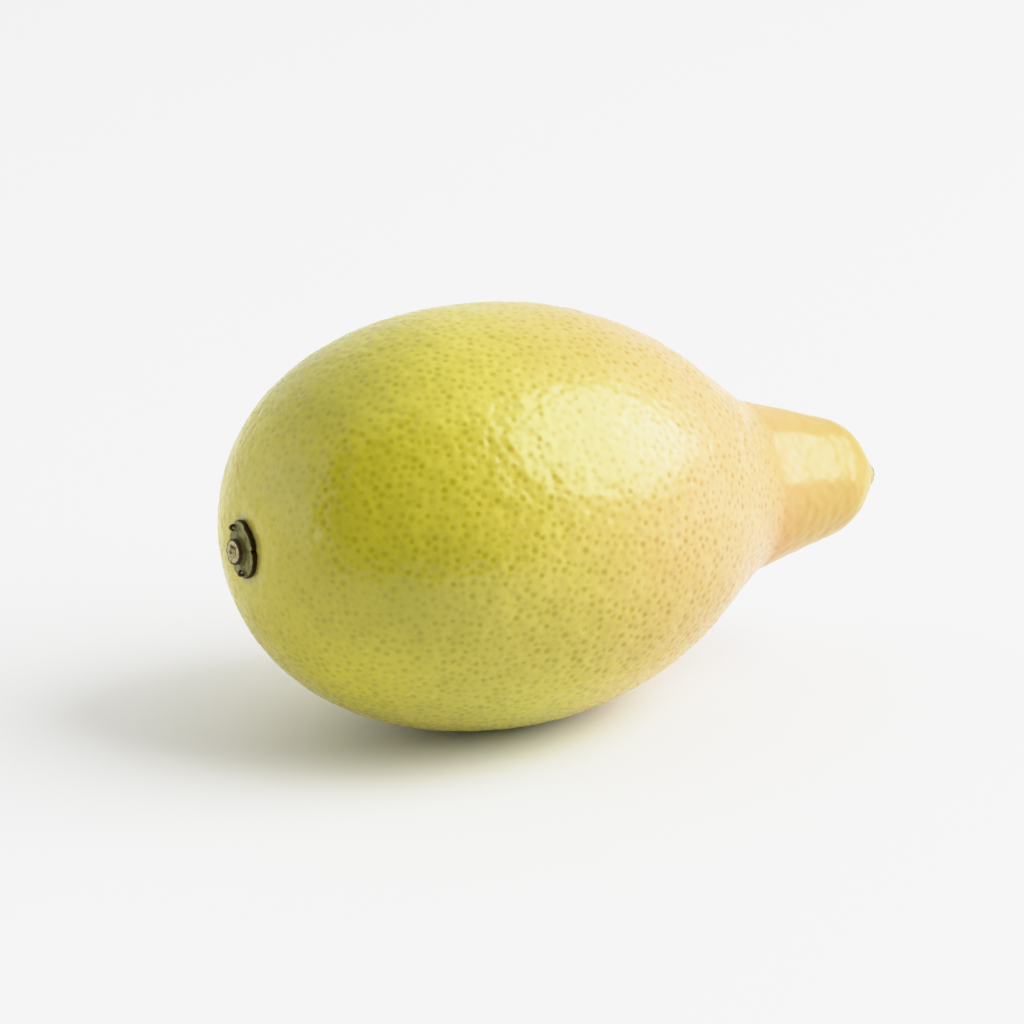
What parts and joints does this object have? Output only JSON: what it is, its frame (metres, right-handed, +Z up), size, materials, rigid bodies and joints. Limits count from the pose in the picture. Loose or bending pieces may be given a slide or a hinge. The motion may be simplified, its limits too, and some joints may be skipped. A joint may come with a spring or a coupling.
{
  "type": "limequat",
  "caption": "Whole picked limequat lying on its side: egg-shaped body, tapering neck, small calyx with a cut stem stub and a dry style tip.",
  "frame": {"origin": "middle of the small flat spot under the body that the fruit rests on", "axes": "+X towards the neck, along the fruit's length seen from above; the fruit's axis drops 4 degrees towards the neck; +Z up; the flat spot faces -Z"},
  "size_m": [0.0597, 0.0341, 0.0337],
  "materials": {
    "peel": "waxy citrus peel, semi-gloss, with fine oil glands; yellow-green body, pale yellow to peach shoulder, ochre neck",
    "calyx": "matt grey-green, with a dark brown edge",
    "stem": "matt cut wood, cream face with a brown pith and rim",
    "style": "matt dry brown"
  },
  "bodies": {
    "root": {"fruit": "peel", "calyx": "calyx", "stem_stub": "stem", "style_tip": "style"}
  },
  "joints": []
}
